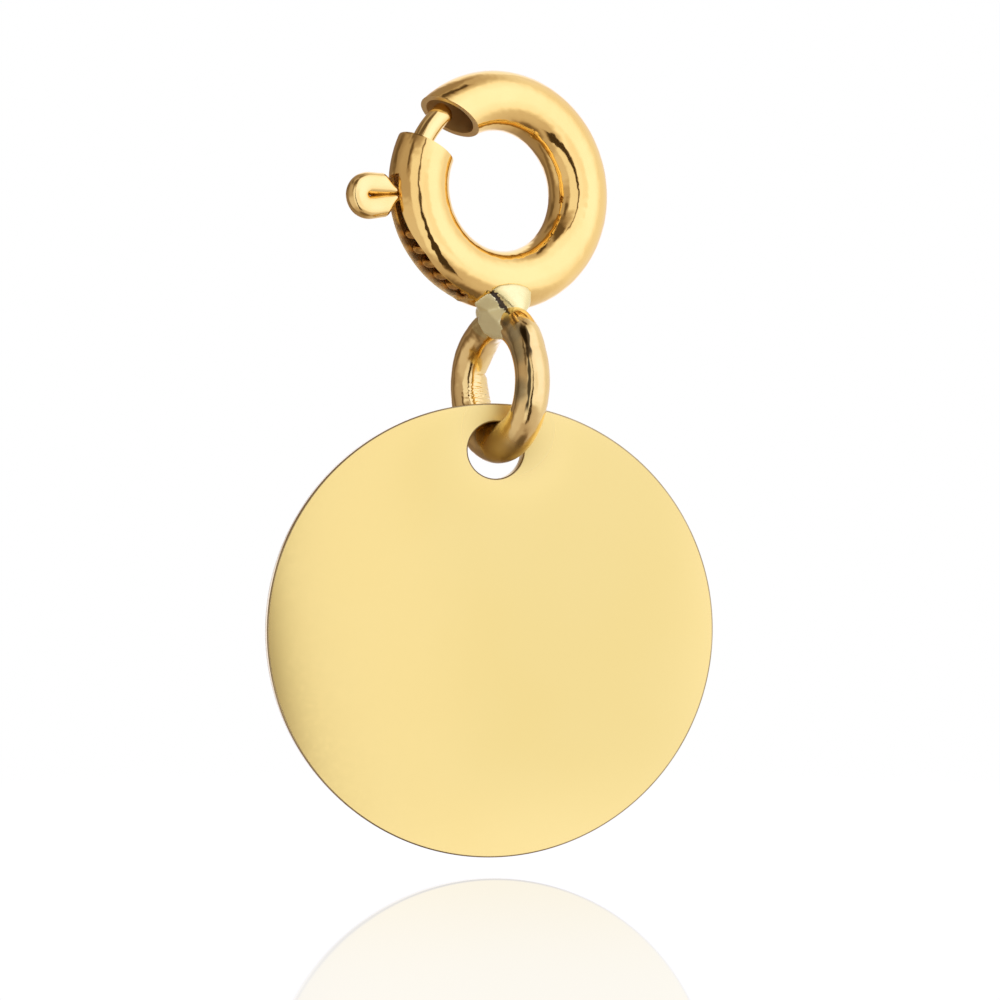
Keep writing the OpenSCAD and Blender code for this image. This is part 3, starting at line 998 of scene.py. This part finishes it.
def build_world(scene):
    """White studio that only the gold sees, on a plain white ground for the camera."""
    world = bpy.data.worlds.new("studio")
    world.use_nodes = True
    bench = NodeBench(world.node_tree)
    ray = bench.add("ShaderNodeTexCoord").outputs["Generated"]
    parts = bench.add("ShaderNodeSeparateXYZ", {0: ray}).outputs
    azimuth = bench.maths("ARCTAN2", parts["X"], bench.maths("MULTIPLY", parts["Y"], -1.0))
    azimuth = bench.maths("MULTIPLY", azimuth, 180 / math.pi)
    height = bench.maths("MULTIPLY", bench.maths("ARCSINE", parts["Z"]), 180 / math.pi)

    def off_azimuth(middle):
        off = bench.maths("WRAP", bench.maths("SUBTRACT", azimuth, middle), 180.0)
        off.node.inputs[2].default_value = -180.0
        return bench.maths("ABSOLUTE", off)

    def lay(light, name, mask, level):
        blend = bench.add("ShaderNodeMix", data_type="FLOAT")
        blend.label = name
        node_input(blend, 0, mask)
        node_input(blend, 2, light)
        node_input(blend, 3, level)
        return blend.outputs[0]

    light = ROOM_LEVEL
    for name, left, right, side, low, high, edge, level in STUDIO_CARDS:
        wide = (right - left) / 2
        tall = (high - low) / 2
        off = off_azimuth((left + right) / 2)
        up = bench.maths("ABSOLUTE", bench.maths("SUBTRACT", height, (low + high) / 2))
        mask = bench.maths(
            "MULTIPLY", bench.ramp(off, wide + side, wide - side),
            bench.ramp(up, tall + edge, tall - edge))
        light = lay(light, name, mask, level)

    # The dark gap is a sliver high up, widens towards the floor, and has soft ends
    drop = bench.add("ShaderNodeMapRange", {
        "Value": height, "From Min": 20.0, "From Max": -55.0}).outputs["Result"]
    growth = bench.maths("MULTIPLY", bench.maths("POWER", drop, 1.6), GAP_GROWTH)
    half = bench.maths("ADD", GAP_HALF, growth)
    inside = bench.maths("SUBTRACT", half, off_azimuth(GAP_AZIMUTH))
    mask = bench.ramp(inside, -GAP_SOFT, GAP_SOFT)
    mask = bench.maths("MULTIPLY", mask, bench.ramp(height, 46.0, 36.0))
    mask = bench.maths("MULTIPLY", mask, bench.ramp(height, -60.0, -50.0))
    light = lay(light, "dark gap", mask, bench.ramp(height, 10.0, 40.0, *GAP_LEVELS))

    # Dim parts of the room are warm, and the brightest cloth is a little cool
    green = bench.maths("ADD", 0.66, bench.maths("MULTIPLY", light, 0.34))
    green = bench.maths("MULTIPLY", light, bench.maths("MINIMUM", 1.0, green))
    blue = bench.maths("ADD", 0.42, bench.maths("MULTIPLY", light, 0.75))
    blue = bench.maths("MULTIPLY", light, blue)
    tint = bench.add("ShaderNodeCombineColor", {0: light, 1: green, 2: blue})
    seen = bench.add("ShaderNodeLightPath").outputs["Is Camera Ray"]
    room = bench.add("ShaderNodeBackground", {"Color": tint.outputs[0], "Strength": 1.0})
    plain = bench.add("ShaderNodeBackground", {"Color": (1, 1, 1, 1), "Strength": 1.0})
    both = bench.add("ShaderNodeMixShader", {0: seen, 1: room.outputs[0], 2: plain.outputs[0]})
    bench.add("ShaderNodeOutputWorld", {"Surface": both.outputs[0]})
    scene.world = world


FLOOR_Z = -19.53
FLOOR_HALF = 900
# How glossy the floor is under the charm and away from it, and where that change ends
FLOOR_GLOSS = (0.33, 0.18)
GLOSS_REACH = 28
# Distances between which the floor's gloss gives way to plain white
WHITE_FROM = 30
WHITE_AT = 45


def build_floor(scene):
    """Pale glossy floor just under the disc, which shows a faint image of it."""
    bm = bmesh.new()
    bmesh.ops.create_grid(bm, x_segments=8, y_segments=8, size=FLOOR_HALF)
    bmesh.ops.translate(bm, vec=(0, 0, FLOOR_Z), verts=bm.verts[:])
    material = bpy.data.materials.new("pale_floor")
    material.use_nodes = True
    bench = NodeBench(material.node_tree)
    glow = bench.add("ShaderNodeEmission", {"Color": (1, 1, 1, 1), "Strength": 1.0})
    gloss = bench.add("ShaderNodeBsdfGlossy", {"Color": (1, 1, 1, 1), "Roughness": 0.03})
    away = bench.distance(
        bench.add("ShaderNodeTexCoord").outputs["Object"], (0, 0, FLOOR_Z))
    share = bench.maths(
        "MULTIPLY", bench.ramp(away, 0.0, GLOSS_REACH * MM, *FLOOR_GLOSS),
        bench.ramp(away, WHITE_AT * MM, WHITE_FROM * MM))
    both = bench.add("ShaderNodeMixShader", {0: share, 1: glow.outputs[0], 2: gloss.outputs[0]})
    bench.add("ShaderNodeOutputMaterial", {"Surface": both.outputs[0]})
    floor = finish_piece("pale_floor", bm, [material])
    floor.visible_glossy = False
    floor.visible_diffuse = False


# The camera: its place in millimetres, and its own back and right in the world
CAMERA_PLACE = Vector((-37.957, -69.652, -12.444))
CAMERA_BACK = Vector((-0.4784, -0.8775, -0.0332)).normalized()
CAMERA_RIGHT = Vector((0.8780, -0.4787, 0.0)).normalized()


class CHARM_OT_stage(bpy.types.Operator):
    """Camera at the photograph's viewing angle, studio light and pale floor."""

    bl_idname = "charm.stage"
    bl_label = "Stage"

    def execute(self, context):
        scene = context.scene
        lens = bpy.data.cameras.new("photo_camera")
        lens.lens = 108.0
        lens.sensor_width = 36.0
        lens.clip_start = 0.001
        lens.clip_end = 10.0
        camera = bpy.data.objects.new("photo_camera", lens)
        scene.collection.objects.link(camera)
        up = CAMERA_BACK.cross(CAMERA_RIGHT)
        turned = Matrix((CAMERA_RIGHT, up, CAMERA_BACK)).transposed().to_4x4()
        camera.matrix_world = Matrix.Translation(CAMERA_PLACE * MM) @ turned
        scene.camera = camera
        scene.view_settings.view_transform = "Standard"
        build_world(scene)
        build_floor(scene)
        return {"FINISHED"}


class CHARM_PT_panel(bpy.types.Panel):
    """Buttons for each piece of the charm."""

    bl_idname = "CHARM_PT_panel"
    bl_label = "Disc charm"
    bl_space_type = "VIEW_3D"
    bl_region_type = "UI"
    bl_category = "Charm"

    def draw(self, context):
        layout = self.layout
        scene = context.scene
        for sizes in (scene.charm_clasp, scene.charm_bolt, scene.charm_disc, scene.charm_finishes):
            for name in sizes.__annotations__:
                layout.prop(sizes, name)
        for operator in OPERATORS:
            layout.operator(operator.bl_idname)


GROUPS = (
    ("charm_clasp", ClaspSizes),
    ("charm_bolt", BoltSizes),
    ("charm_disc", DiscSizes),
    ("charm_finishes", Finishes),
)
OPERATORS = (
    CHARM_OT_stage,
    CHARM_OT_clasp_tube,
    CHARM_OT_link_ring,
    CHARM_OT_solder,
    CHARM_OT_bolt,
    CHARM_OT_spring,
    CHARM_OT_disc,
)


def register():
    for name, group in GROUPS:
        bpy.utils.register_class(group)
        setattr(bpy.types.Scene, name, bpy.props.PointerProperty(type=group))
    for operator in OPERATORS:
        bpy.utils.register_class(operator)
    bpy.utils.register_class(CHARM_PT_panel)


def unregister():
    bpy.utils.unregister_class(CHARM_PT_panel)
    for operator in reversed(OPERATORS):
        bpy.utils.unregister_class(operator)
    for name, group in reversed(GROUPS):
        delattr(bpy.types.Scene, name)
        bpy.utils.unregister_class(group)


def main():
    register()
    bpy.ops.charm.stage()
    bpy.ops.charm.clasp_tube()
    bpy.ops.charm.link_ring()
    bpy.ops.charm.solder()
    bpy.ops.charm.bolt()
    bpy.ops.charm.spring()
    bpy.ops.charm.disc()


if __name__ == "__main__":
    main()
